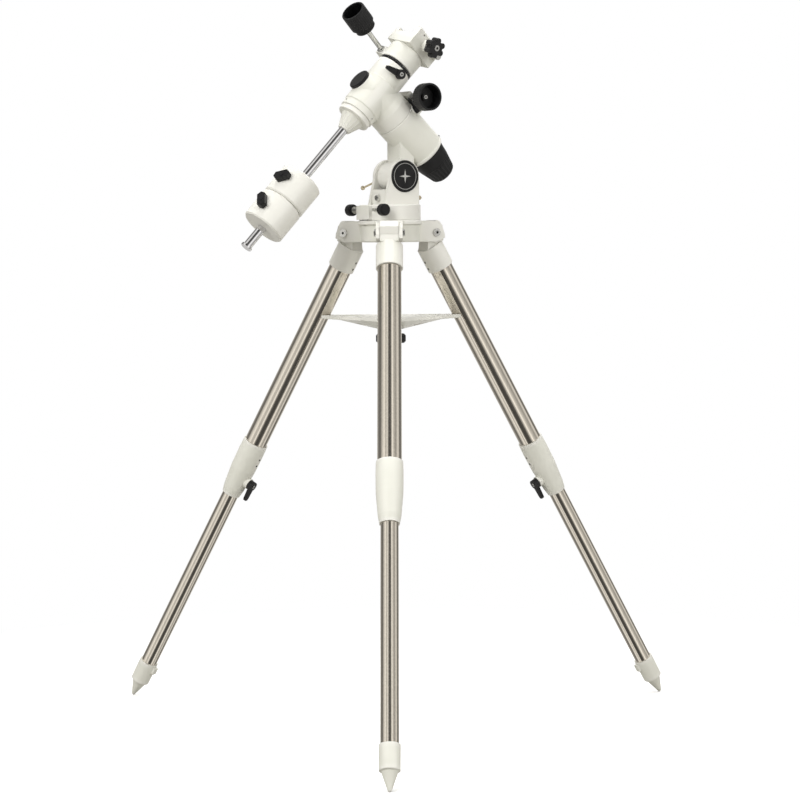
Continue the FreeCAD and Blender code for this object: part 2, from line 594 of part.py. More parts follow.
ra_worm_line = RA.multiply(pointing(size("worm_out"), 0, -size("worm_down"), "-y"))
finish(worm("ra_worm_turned", "ra_knob_low-0.2", "ra_knob_low+8"), "ra_worm", ra_worm_line)
finish(cup_knob("ra_knob_turned", "cup_radius", "ra_knob_low", "5", "33"), "ra_slow_knob",
       ra_worm_line)

# ---------------------------------------------------------------- declination head
stub = lathe("stub", [
    ("polar_shaft+fit", "-seam+0.2"), ("stub_radius-0.7", "-seam+0.2"),
    ("stub_radius", "-seam+1"), ("stub_radius", "-46"), ("dec_radius+1", "-30"),
    ("dec_radius", "0"), ("36", "24"), ("27", "38"), ("25", "43"), ("0", "43"), ("0", "-14"),
    ("polar_shaft+fit", "-14"),
])
cross = lathe("cross_barrel", [
    ("0", "-45"), ("dec_radius-2", "-45"), ("dec_radius", "-43"), ("dec_radius", "28"),
    ("dec_neck", "29.5"), ("dec_neck", "circle_low-0.4"), ("0", "circle_low-0.4"),
])
ring = lathe("ring_flange", [
    ("cw_radius+fit", "-60"), ("39", "-60"), ("40", "-59"), ("40", "-44"), ("cw_radius+fit", "-44"),
])
dec_bore = rod("dec_bore", "dec_shaft+fit", "130", ("0", "0", "-40"))
cw_bore = rod("cw_bore", "cw_radius+fit", "20", ("0", "0", "-62"))
dec_boss = rod("dec_clutch_boss", "11.5", "21", ("0", "-20", "60"), "-y")
dec_hole = rod("dec_clutch_hole", "3+fit", "20", ("0", "-33", "60"), "-y")
dec_side = cut("dec_side", fuse("dec_blank", cross, ring, dec_boss), cw_bore, dec_hole)
dec_side.Placement = place(axis=(0, 1, 0), angle=90)
carry(dec_bore, place(axis=(0, 1, 0), angle=90))
polar_room = rod("polar_room", "polar_shaft+fit", "seam-14", ("0", "0", "-seam"))
finish(cut("ra_head_cut", fuse("ra_head_blank", stub, dec_side), dec_bore, polar_room),
       "ra_head", RA_TURNED)
finish(lathe("ra_shaft_turned", [
    ("11", "-housing_end+11"), ("polar_shaft", "-housing_end+11"), ("polar_shaft", "-14.1"),
    ("11", "-14.1"),
]), "ra_shaft", RA_TURNED)
finish(lathe("pole_cap_turned", [
    ("0", "43.1"), ("24.4", "43.1"), ("24.4", "48.5"), ("23", "50"), ("0", "50"),
]), "polar_front_cap", RA_TURNED)

finish(lathe("cone_turned", [
    ("cw_radius+fit", "-105"), ("13", "-105"), ("14", "-104"), ("27.5", "-72"), ("37", "-71"),
    ("37.5", "-70"), ("37.5", "-61"), ("37", "-60-gap"), ("cw_radius+fit", "-60-gap"),
]), "shaft_lock_nut", DEC)
finish(lathe("cw_shaft_turned", [
    ("0", "-cw_end"), ("12", "-cw_end"), ("13", "-cw_end+1"), ("13", "-cw_end+5"),
    ("cw_radius", "-cw_end+6"), ("cw_radius", "-45"), ("0", "-45"),
]), "counterweight_shaft", DEC)

knob_turn = FreeCAD.Rotation(Vector(0, 0, 1), size("weight_knob_turn"))
for which, grip_turn in (("lower", -50), ("upper", 40)):
    low = "-%s_weight" % which
    disc = lathe(which + "_disc", [
        ("cw_radius+fit", low), ("weight_radius-3", low), ("weight_radius", "%s+3" % low),
        ("weight_radius", "%s+weight_length-3" % low), ("weight_radius-3", "%s+weight_length" % low),
        ("cw_radius+fit", "%s+weight_length" % low),
    ])
    hole = rod(which + "_knob_hole", "4+fit", "50")
    middle = size("%s+weight_length/2" % low)
    side = FreeCAD.Placement(Vector(0, 0, middle), knob_turn)
    carry(hole, side.multiply(FreeCAD.Placement(Vector(8, 0, 0), ALONG["+x"])))
    finish(cut(which + "_weight_cut", disc, hole), "counterweight_" + which, DEC)
    grip = new_body(which + "_grip")
    pad(grip, outline(grip, which + "_grip_outline", [
        ("-9", "-13"), ("0", "-18.5"), ("9", "-13"), ("9", "13"), ("0", "18.5"), ("-9", "13"),
    ], lift="weight_radius+1.5"), "13")
    stem = rod(which + "_stem", "4", "weight_radius-9", ("0", "0", "11"))
    cap = rod(which + "_screw_cap", "4.5", "1.5", ("0", "0", "weight_radius+14"))
    finish(fuse(which + "_knob_solid", grip, stem, cap), "weight_knob_" + which,
           DEC.multiply(side).multiply(pointing(0, 0, 0, "+x")).multiply(place(angle=grip_turn)))

arm_turn = FreeCAD.Placement(Vector(0, -size("dec_neck+2"), 60), ALONG["-y"])
finish(lever("dec_clutch", "10.5", "10", "39", "9", "3", "8"), "dec_clutch_lever",
       DEC.multiply(arm_turn).multiply(place(angle=199)))

# ---------------------------------------------------------------- saddle
saddle_barrel = lathe("saddle_barrel", [
    ("dec_shaft+fit", "saddle_low"), ("saddle_radius-1", "saddle_low"),
    ("saddle_radius", "saddle_low+1"), ("saddle_radius+1", "122"), ("saddle_radius-6", "132"),
    ("dec_shaft+fit", "132"),
])
table = block("saddle_table", "80", "76", "slot_floor-124", ("0", "-2", "124"))
land = block("saddle_land", "80", "30", "0.8", ("0", "0", "slot_floor"))
far_jaw = new_body("far_jaw_body")
far_sketch = outline(far_jaw, "far_jaw_outline", [
    ("slot_half+2", "slot_floor-1"), ("slot_half-1", "far_jaw"), ("slot_half+6", "far_jaw"),
    ("36", "slot_floor-1"),
], "YZ_Plane")
pad(far_jaw, far_sketch, "80", True)
near_jaw = new_body("near_jaw_body")
near_sketch = outline(near_jaw, "near_jaw_outline", [
    ("-slot_half-2", "slot_floor-1"), ("-slot_half-2", "near_jaw"), ("-36", "near_jaw"),
    ("-40", "near_jaw-4"), ("-40", "slot_floor-1"),
], "YZ_Plane")
pad(near_jaw, near_sketch, "80", True)
knob_boss = rod("knob_boss", "14", "22", ("0", "-30", "slot_floor+2"), "-y")
safety_boss = rod("safety_boss", "7", "8", ("30", "-36", "slot_floor+2"), "-y")
worm_case = block("dec_worm_case", "52", "34", "20", ("0", "dec_worm_side-7", "dec_worm_up-10"))
jaw_room = block("jaw_room", "24.4", "16", "20", ("0", "-slot_half-6", "slot_floor-6+0.9"))
screw_hole = rod("screw_hole", "5+fit", "40", ("0", "-20", "slot_floor+2"), "-y")
safety_hole = rod("safety_hole", "3+fit", "40", ("30", "-20", "slot_floor+2"), "-y")
dec_worm_bore = rod("dec_worm_bore", "worm_shaft+fit", "80",
                    ("-40", "dec_worm_side", "dec_worm_up"), "+x")
dec_worm_room = rod("dec_worm_room", "worm_radius+0.4", "32",
                    ("-16", "dec_worm_side", "dec_worm_up"), "+x")
shaft_bore = rod("shaft_bore", "dec_shaft+fit", "60", ("0", "0", "60"))
small_hole = rod("small_hole", "2", "20", ("-22", "-20", "near_jaw-8"), "-y")
finish(cut("saddle_cut",
           fuse("saddle_blank", saddle_barrel, table, land, far_jaw, near_jaw, knob_boss,
                safety_boss, worm_case),
           jaw_room, screw_hole, safety_hole, dec_worm_bore, dec_worm_room, shaft_bore,
           small_hole), "saddle", SADDLE)

finish(lathe("dec_shaft_turned", [
    ("0", "-40+gap"), ("dec_shaft", "-40+gap"), ("dec_shaft", "120-gap"), ("0", "120-gap"),
]), "dec_shaft", SADDLE)
finish(lathe("circle_turned", [
    ("dec_shaft+fit", "circle_low"), ("38", "circle_low"), ("39", "circle_low+1"),
    ("39", "circle_top-1"), ("38", "circle_top"), ("dec_shaft+fit", "circle_top"),
]), "dec_setting_circle", SADDLE)

jaw = new_body("moving_jaw")
jaw_sketch = outline(jaw, "jaw_outline", [
    ("-slot_half-8", "slot_floor+1"), ("-slot_half+2", "slot_floor+1"),
    ("-slot_half+5", "slot_floor+14"), ("-slot_half-8", "slot_floor+14"),
], "YZ_Plane")
pad(jaw, jaw_sketch, "24", True)
jaw_bore = rod("jaw_bore", "4+fit", "5", ("0", "-slot_half-9", "slot_floor+2+5"), "+y")
finish(cut("jaw_cut", jaw, jaw_bore), "saddle_jaw", SADDLE)

star = [rod("star_core", "15", "18", ("0", "0", "58"))]
for lobe in range(6):
    star.append(rod("star_lobe_%d" % lobe, "6.2", "18",
                    ("15.8*cos(%d)" % (60 * lobe), "15.8*sin(%d)" % (60 * lobe), "58")))
star.append(rod("star_neck", "9", "6.1", ("0", "0", "52.3")))
star.append(rod("star_stem", "5", "29", ("0", "0", "slot_half+8.3")))
finish(fuse("star_knob_solid", *star), "saddle_knob",
       SADDLE.multiply(pointing(0, 0, size("slot_floor+2"), "-y")))
finish(lathe("safety_turned", [
    ("0", "22"), ("3", "22"), ("3", "45"), ("6.5", "45"), ("7.5", "46"), ("7.5", "57"),
    ("6.5", "58"), ("0", "58"),
]), "safety_screw", SADDLE.multiply(pointing(30, 0, size("slot_floor+2"), "-y")))

dec_worm_line = SADDLE.multiply(pointing(0, size("dec_worm_side"), size("dec_worm_up"), "-x"))
finish(worm("dec_worm_turned", "dec_knob_low-0.2", "dec_knob_low+8"), "dec_worm", dec_worm_line)
finish(cup_knob("dec_knob_turned", "dec_cup", "dec_knob_low", "12", "56"), "dec_slow_knob",
       dec_worm_line)

# ---------------------------------------------------------------- check and save
doc.recompute()
for item in doc.Objects:
    if "Invalid" in item.State or "Error" in item.State:
        raise RuntimeError("%s is not built: %s" % (item.Name, item.State))
for item in parts:
    shape = item.Shape
    if shape.isNull() or not shape.isValid() or not shape.Solids:
        raise RuntimeError("%s has no sound solid" % item.Label)
    shape.exportStep("parts/%s.step" % item.Label)
print("saved", len(parts), "parts")
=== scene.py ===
import json
import math

import bmesh
import bpy
from mathutils import Matrix, Vector

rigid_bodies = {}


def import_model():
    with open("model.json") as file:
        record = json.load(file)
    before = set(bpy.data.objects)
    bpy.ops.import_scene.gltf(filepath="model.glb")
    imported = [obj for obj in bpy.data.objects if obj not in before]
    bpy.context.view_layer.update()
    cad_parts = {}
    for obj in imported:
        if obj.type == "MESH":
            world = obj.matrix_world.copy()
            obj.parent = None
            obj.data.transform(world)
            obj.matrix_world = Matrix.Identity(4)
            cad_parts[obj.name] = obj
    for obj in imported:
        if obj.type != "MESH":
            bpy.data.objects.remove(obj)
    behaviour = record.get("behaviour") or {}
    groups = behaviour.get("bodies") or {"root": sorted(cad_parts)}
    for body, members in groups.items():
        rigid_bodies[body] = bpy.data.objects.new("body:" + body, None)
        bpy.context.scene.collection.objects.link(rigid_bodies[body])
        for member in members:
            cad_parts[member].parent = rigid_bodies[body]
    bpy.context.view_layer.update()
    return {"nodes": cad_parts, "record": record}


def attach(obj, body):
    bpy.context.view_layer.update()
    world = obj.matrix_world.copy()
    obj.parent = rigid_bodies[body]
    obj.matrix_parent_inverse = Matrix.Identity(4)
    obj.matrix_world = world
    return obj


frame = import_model()
NODES = frame["nodes"]
MM = 0.001
MIX_FIRST, MIX_SECOND, MIX_RESULT = 6, 7, 2   # the colour sockets of a Mix node

# ---------------------------------------------------------------- material tools


class Shader:
    """Small helper that wires one procedural material."""

    def __init__(self, name, color, metallic, roughness):
        self.material = bpy.data.materials.new(name)
        self.material.use_nodes = True
        self.tree = self.material.node_tree
        self.surface = self.tree.nodes["Principled BSDF"]
        self.surface.inputs["Base Color"].default_value = (*color, 1)
        self.surface.inputs["Metallic"].default_value = metallic
        self.surface.inputs["Roughness"].default_value = roughness
        place = self.tree.nodes.new("ShaderNodeTexCoord")
        self.place = place.outputs["Object"]

    def link(self, source, target):
        self.tree.links.new(source, target)

    def stretched(self, scale):
        node = self.tree.nodes.new("ShaderNodeMapping")
        node.inputs["Scale"].default_value = scale
        self.link(self.place, node.inputs["Vector"])
        return node.outputs["Vector"]

    def noise(self, scale, detail=4.0, vector=None):
        node = self.tree.nodes.new("ShaderNodeTexNoise")
        node.inputs["Scale"].default_value = scale
        node.inputs["Detail"].default_value = detail
        self.link(vector or self.place, node.inputs["Vector"])
        return node.outputs["Fac"]

    def ramp(self, source, low, high, from_low=0.35, from_high=0.65):
        node = self.tree.nodes.new("ShaderNodeMapRange")
        node.inputs["From Min"].default_value = from_low
        node.inputs["From Max"].default_value = from_high
        node.inputs["To Min"].default_value = low
        node.inputs["To Max"].default_value = high
        self.link(source, node.inputs["Value"])
        return node.outputs["Result"]

    def mix(self, amount, first, second):
        node = self.tree.nodes.new("ShaderNodeMix")
        node.data_type = "RGBA"
        self.link(amount, node.inputs["Factor"])
        for index, color in ((MIX_FIRST, first), (MIX_SECOND, second)):
            if isinstance(color, tuple):
                node.inputs[index].default_value = (*color, 1)
            else:
                self.link(color, node.inputs[index])
        return node.outputs[MIX_RESULT]

    def edges(self, low=0.505, high=0.56):
        """1 on sharp outer edges, 0 elsewhere, from how far the surface points outward."""
        node = self.tree.nodes.new("ShaderNodeNewGeometry")
        return self.ramp(node.outputs["Pointiness"], 0.0, 1.0, low, high)

    def soft_edges(self, radius):
        """Rounds sharp casting edges in the shading."""
        node = self.tree.nodes.new("ShaderNodeBevel")
        node.samples = 4
        node.inputs["Radius"].default_value = radius
        self.link(node.outputs["Normal"], self.surface.inputs["Normal"])

    def bump(self, source, strength, distance):
        """Adds relief on top of whatever already bends the normal."""
        node = self.tree.nodes.new("ShaderNodeBump")
        node.inputs["Strength"].default_value = strength
        node.inputs["Distance"].default_value = distance
        self.link(source, node.inputs["Height"])
        previous = self.surface.inputs["Normal"].links
        if previous:
            self.link(previous[0].from_socket, node.inputs["Normal"])
        self.link(node.outputs["Normal"], self.surface.inputs["Normal"])

    def color(self, source):
        self.link(source, self.surface.inputs["Base Color"])

    def rough(self, source):
        self.link(source, self.surface.inputs["Roughness"])


def cream_paint():
    """Off-white powder coat with a fine orange peel and slightly polished edges."""
    paint = Shader("cream_paint", (0.72, 0.70, 0.62), 0.0, 0.36)
    paint.surface.inputs["Coat Weight"].default_value = 0.12
    paint.surface.inputs["Coat Roughness"].default_value = 0.25
    mottle = paint.ramp(paint.noise(14, 3), 0.0, 1.0)
    body = paint.mix(mottle, (0.675, 0.672, 0.605), (0.71, 0.706, 0.64))
    paint.color(paint.mix(paint.edges(), body, (0.74, 0.73, 0.68)))
    paint.rough(paint.ramp(paint.noise(260, 2), 0.32, 0.46))
    paint.soft_edges(0.0018)
    paint.bump(paint.noise(900, 2), 0.10, 0.0004)
    return paint.material


def black_plastic():
    """Moulded black plastic with a fine grain and rubbed edges."""
    plastic = Shader("black_plastic", (0.012, 0.012, 0.013), 0.0, 0.42)
    grain = plastic.noise(1300, 3)
    cloud = plastic.ramp(plastic.noise(60, 4), 0.0, 1.0)
    body = plastic.mix(cloud, (0.004, 0.004, 0.0045), (0.008, 0.008, 0.0085))
    plastic.color(plastic.mix(plastic.edges(0.54, 0.66), body, (0.02, 0.02, 0.021)))
    plastic.surface.inputs["Specular IOR Level"].default_value = 0.32
    plastic.rough(plastic.ramp(grain, 0.36, 0.52))
    plastic.soft_edges(0.001)
    plastic.bump(grain, 0.18, 0.0003)
    return plastic.material


def metal(name, color, roughness, scale=(1, 1, 1), streak=700, strength=0.03):
    """Turned or drawn metal; a low scale along one axis stretches its streaks that way."""
    steel = Shader(name, color, 1.0, roughness)
    lines = steel.noise(streak, 2, steel.stretched(scale))
    darker = tuple(value * 0.88 for value in color)
    steel.color(steel.mix(steel.ramp(lines, 0.0, 1.0), darker, color))
    steel.rough(steel.ramp(lines, roughness * 0.85, roughness * 1.15))
    steel.bump(lines, strength, 0.0002)
    return steel.material


CREAM = cream_paint()
MATERIALS = {
    "cream_paint": CREAM,
    "weight_paint": CREAM,
    "black_plastic": black_plastic(),
    "steel_tube": metal("polished_tube", (0.74, 0.69, 0.61), 0.12, (1, 1, 0.02), 420, 0.004),
    "bright_steel": metal("bright_steel", (0.72, 0.72, 0.70), 0.28),
    "chrome_shaft": metal("chrome_shaft", (0.80, 0.80, 0.82), 0.045, (0.3, 0.3, 1), 400, 0.002),
    "brass_ends": metal("brass_ends", (0.72, 0.63, 0.46), 0.25),
}
BLACK = MATERIALS["black_plastic"]
STEEL = MATERIALS["bright_steel"]
WHITE_INK = metal("white_ink", (0.80, 0.80, 0.78), 0.5)
# Painted shade: a near-black material that stands in for the shade inside screw sockets, not a colour of
# the metal.
PAINTED_SOCKET_SHADE = metal("painted_socket_shade", (0.03, 0.03, 0.03), 0.6)


def paint_nodes():
    """Gives each CAD node the material of its slot; the small leg screws get near-black painted shade
    all over, standing in for the shade in their sockets.
    """
    slots = {row["node"]: row["material_slot"] for row in frame["record"]["subparts"]}
    for name, item in NODES.items():
        item.data.materials.clear()
        painted_shade = name.startswith("leg_") and name.endswith("_screws")
        # Painted shade: the leg screws are drawn near-black instead of in their slot's metal.
        item.data.materials.append(PAINTED_SOCKET_SHADE if painted_shade else MATERIALS[slots[name]])


paint_nodes()

# ---------------------------------------------------------------- detail pieces

JOINTS = {row["name"]: row for row in frame["record"]["behaviour"]["joints"]}
SMOOTH_UP_TO = math.radians(32)


def along(joint, flip=False):
    """Frame on a joint: origin at its place, z along its axis."""
    axis = Vector(JOINTS[joint]["axis"])
    turned = (-axis if flip else axis).to_track_quat("Z", "Y").to_matrix().to_4x4()
    return Matrix.Translation(Vector(JOINTS[joint]["pos_m"])) @ turned


def span_of(node, seat):
    """Lowest and highest reach of a node along the z axis of a frame, in mm."""
    item = NODES[node]
    to_seat = seat.inverted() @ item.matrix_world
    heights = [(to_seat @ vertex.co).z for vertex in item.data.vertices]
    return min(heights) / MM, max(heights) / MM


def piece(name, bm, material, body):
    """Turns a bmesh into a piece that rides on a body, smooth but for its sharp corners."""
    mesh = bpy.data.meshes.new(name)
    bmesh.ops.recalc_face_normals(bm, faces=bm.faces)
    bm.to_mesh(mesh)
    bm.free()
    mesh.materials.append(material)
    for face in mesh.polygons:
        face.use_smooth = True
    item = bpy.data.objects.new(name, mesh)
    bpy.context.collection.objects.link(item)
    split = item.modifiers.new("corners", "EDGE_SPLIT")
    split.split_angle = SMOOTH_UP_TO
    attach(item, body)
    return item


def ring_points(bm, seat, radius, height, count):
    """A ring of points round a frame's z axis; radius and height are in mm."""
    return [bm.verts.new(seat @ Vector((radius * MM * math.cos(math.tau * i / count),
                                        radius * MM * math.sin(math.tau * i / count),
                                        height * MM))) for i in range(count)]


def skin(bm, first, second):
    """Joins two closed rows of points with a ring of faces."""
    count = len(first)
    for i in range(count):
        after = (i + 1) % count
        bm.faces.new((first[i], first[after], second[after], second[i]))


def prism(bm, first, second):
    """A closed body between two closed rows of points."""
    skin(bm, first, second)
    bm.faces.new(first)
    bm.faces.new(second)


def turned(bm, seat, profile, count=48):
    """Closed shape of revolution from (radius, height) pairs in mm, capped at both ends."""
    rows = [ring_points(bm, seat, radius, height, count) for radius, height in profile]
    for low, high in zip(rows, rows[1:]):
        skin(bm, low, high)
    bm.faces.new(rows[0])
    bm.faces.new(rows[-1])


def band(bm, seat, inner, outer, low, high, count=72):
    """Flat washer with a square section; all sizes are in mm."""
    rows = [ring_points(bm, seat, radius, height, count)
            for radius, height in ((inner, low), (outer, low), (outer, high), (inner, high))]
    for index, row in enumerate(rows):
        skin(bm, row, rows[(index + 1) % 4])


def ribs(bm, seat, count, low, high, width, lift):
    """Raised ribs round an axis; low and high are (radius, height) pairs in mm."""
    sunk = 0.6
    for index in range(count):
        around = seat @ Matrix.Rotation(math.tau * index / count, 4, "Z")
        ends = []
        for (radius, height), shrink in ((low, 1.0), (high, 0.8)):
            half = width / 2 * shrink
            outline = ((radius - sunk, -half), (radius + lift * 0.6, -half * 0.9),
                       (radius + lift, -half * 0.4), (radius + lift, half * 0.4),
                       (radius + lift * 0.6, half * 0.9), (radius - sunk, half))
            ends.append([bm.verts.new(around @ (Vector((out, side, height)) * MM))
                         for out, side in outline])
        prism(bm, *ends)


def socket_screw(name, seat, height, radius, body, proud=1.6):
    """Round head that stands proud of a height, with a near-black hexagon of painted shade for its
    socket; sizes are in mm.
    """
    chamfer = 0.5
    top = height + proud
    bm = bmesh.new()
    turned(bm, seat, [(radius, height - 0.4), (radius, height + proud - chamfer),
                      (radius - chamfer, top), (radius * 0.62, top)], 36)
    piece(name, bm, STEEL, body)
    # Painted shade: a near-black hexagon just proud of the head stands in for the shaded socket recess.
    bm = bmesh.new()
    turned(bm, seat, [(radius * 0.5, height + proud - 0.3), (radius * 0.5, top + 0.04)], 6)
    piece(name + "_socket", bm, PAINTED_SOCKET_SHADE, body)


def setting_circle_marks():
    """A white mark every five degrees, longer every thirty, just clear of the black rim."""
    rim, half, marks = 39.04, 0.22, 72
    seat = along("dec_turn")
    top = span_of("dec_setting_circle", seat)[1]
    bm = bmesh.new()
    for index in range(marks):
        around = seat @ Matrix.Rotation(math.tau * index / marks, 4, "Z")
        foot = top - (5.0 if index % 6 == 0 else 3.0)
        head = top - 1.1
        corners = [(rim, -half, foot), (rim, half, foot), (rim, half, head), (rim, -half, head)]
        bm.faces.new([bm.verts.new(around @ (Vector(corner) * MM)) for corner in corners])
    piece("dec_circle_marks", bm, WHITE_INK, "dec_setting_circle")


def grip(name, joint, node, count, low, high, width, lift, material=BLACK, from_top=True):
    """Ribs on a knob; low and high are (radius, height from the node's top or bottom) in mm."""
    seat = along(joint)
    start = span_of(node, seat)[1 if from_top else 0]
    bm = bmesh.new()
    ribs(bm, seat, count, (low[0], start + low[1]), (high[0], start + high[1]), width, lift)
    piece(name, bm, material, JOINTS[joint]["child"])


def fluted_parts():
    """Ribs on the end cap, the lock nut and the round knobs, and the ring on the end cap."""
    grip("polar_cap_ribs", "polar_cap_spin", "polar_cap", 24, (34.6, -35), (27.4, -6), 3.2, 1.1)
    seat = along("polar_cap_spin")
    end = span_of("polar_cap", seat)[1]
    bm = bmesh.new()
    band(bm, seat, 8, 17, end - 0.3, end + 0.2)
    piece("polar_cap_ring", bm, BLACK, "polar_cap")
    grip("lock_nut_flutes", "lock_nut_spin", "shaft_lock_nut", 16, (26.8, -31.5), (14.8, -3),
         3.4, 0.5, CREAM)
    for axis, radius, low, count in (("ra", 29.5, -24.0, 40), ("dec", 27.0, -38.0, 36)):
        root = radius - 0.1
        grip(axis + "_slow_knob_grip", axis + "_worm_spin", axis + "_slow_knob", count,
             (root, low), (root, -2.0), 2.4, 0.35)
    for side in ("near", "far"):
        node = "azimuth_knob_" + side
        grip(node + "_grip", node + "_spin", node, 22, (12.4, -17), (12.4, -4), 1.7, 0.5)
    grip("tray_knob_grip", "tray_knob_spin", "tray_knob", 36, (31.9, 4), (31.9, 16), 2.4, 0.6,
         from_top=False)


def screw_on(name, joint, node, radius, sink=0.0, proud=1.6):
    """Socket screw on the top of a node, or sunk below it, on the axis of its joint."""
    seat = along(joint)
    top = span_of(node, seat)[1]
    socket_screw(name, seat, top - sink, radius, JOINTS[joint]["child"], proud)


def screws():
    """Socket screws at lever pivots, inside the cups and on the hinge bolts."""
    screw_on("dec_clutch_lever_screw", "dec_clutch_turn", "dec_clutch_lever", 4.6)
    screw_on("ra_clutch_lever_screw", "ra_clutch_turn", "ra_clutch_lever", 4.0)
    for leg in "abc":
        lever = "leg_%s_lever" % leg
        screw_on(lever + "_screw", lever + "_turn", lever, 4.4)
    screw_on("saddle_knob_cap", "saddle_knob_spin", "saddle_knob", 6.5, proud=0.8)
    for axis, cup_depth in (("ra", 19), ("dec", 42)):
        screw_on(axis + "_slow_knob_screw", axis + "_worm_spin", axis + "_slow_knob", 4.5, cup_depth)
    bolt_head = 32.6
    for leg in "abc":
        for flip in (False, True):
            seat = along("leg_%s_fold" % leg, flip)
            socket_screw("hinge_socket_%s_%d" % (leg, flip), seat, bolt_head, 6.4, "tripod", 0.7)
    for which in ("lower", "upper"):
        joint = "weight_knob_%s_spin" % which
        seat = along(joint)
        top = span_of("weight_knob_" + which, seat)[1]
        bm = bmesh.new()
        turned(bm, seat, [(6.0, top - 18.6), (6.0, top - 15.2), (4.4, top - 15.0)], 36)
        piece("weight_screw_" + which, bm, STEEL, JOINTS[joint]["child"])


def facing(seat, toward, radius, height):
    """Frame on a round form, with z outward on the side that faces a direction; sizes in mm."""
    axis = seat.to_3x3().col[2].normalized()
    out = Vector(toward)
    out = (out - out.dot(axis) * axis).normalized()
    place = seat @ Vector((0, 0, height * MM)) + out * radius * MM
    return Matrix.Translation(place) @ out.to_track_quat("Z", "Y").to_matrix().to_4x4()


def small_hardware():
    """Grub screws in the castings and bright collars where the worm shafts come out."""
    flange = along("lock_nut_spin")
    flange_radius, flange_height = 40.0, -28.0
    for index, toward in enumerate(((0.9, -0.6, -0.4), (-0.8, -0.5, 0.6), (0.1, 1.0, 0.1))):
        seat = facing(flange, toward, flange_radius, flange_height)
        socket_screw("flange_screw_%d" % index, seat, 0.0, 2.2, "ra_head", 0.3)
    rear = along("polar_cap_spin")
    rear_radius, rear_height = 46.7, -25.0
    for index, toward in enumerate(((0.5, -0.2, 0.9), (-0.6, -0.8, -0.2), (0.0, 1.0, 0.0))):
        seat = facing(rear, toward, rear_radius, rear_height)
        socket_screw("rear_screw_%d" % index, seat, 0.0, 2.4, "ra_housing", 1.8)
    shaft, collar_low, collar_high = 5.4, 24.2, 28.5
    for joint, radius in (("ra_worm_spin", 10.5), ("dec_worm_spin", 8.5)):
        bm = bmesh.new()
        band(bm, along(joint), shaft, radius, collar_low, collar_high, 48)
        piece(joint + "_collar", bm, STEEL, JOINTS[joint]["parent"])


def cover_badge():
    """A plain ring and a four-pointed star on the cover disc."""
    seat = along("altitude_tilt", True)
    top = span_of("altitude_cover", seat)[1]
    bm = bmesh.new()
    band(bm, seat, 27.6, 28.5, top - 0.6, top - 0.2)
    piece("cover_ring", bm, WHITE_INK, "azimuth_base")
    reaches = [15, 3.2] * 4
    count = len(reaches)
    bm = bmesh.new()
    corners = [bm.verts.new(seat @ (Vector((reach * math.cos(math.tau * i / count),
                                            reach * math.sin(math.tau * i / count),
                                            top - 0.25)) * MM))
               for i, reach in enumerate(reaches)]
    middle = bm.verts.new(seat @ (Vector((0, 0, top - 0.1)) * MM))
    for index, corner in enumerate(corners):
        bm.faces.new((middle, corner, corners[(index + 1) % count]))
    piece("cover_star", bm, WHITE_INK, "azimuth_base")


def tongue_shields():
    """Outer face of each leg bracket, carried up to the top of the hub between the ears.

    The profile is (rise, reach outward) from the hinge, in mm.
    """
    profile = ((-12.0, 8.0), (-2.0, 19.0), (14.0, 21.0), (24.0, 13.5), (26.5, 9.0), (26.5, 3.0),
               (14.0, 2.0), (-12.0, 0.0))
    half_width = 20.2
    for leg in "abc":
        hinge = Vector(JOINTS["leg_%s_fold" % leg]["pos_m"])
        outward = Vector((hinge.x, hinge.y, 0)).normalized()
        across = Vector((0, 0, 1)).cross(outward)
        bm = bmesh.new()
        prism(bm, *[[bm.verts.new(hinge + (outward * out + Vector((0, 0, rise)) + across * side) * MM)
                     for rise, out in profile] for side in (-half_width, half_width)])
        piece("leg_%s_shield" % leg, bm, CREAM, "leg_" + leg)


tongue_shields()
setting_circle_marks()
fluted_parts()
screws()
small_hardware()
cover_badge()

# ---------------------------------------------------------------- studio


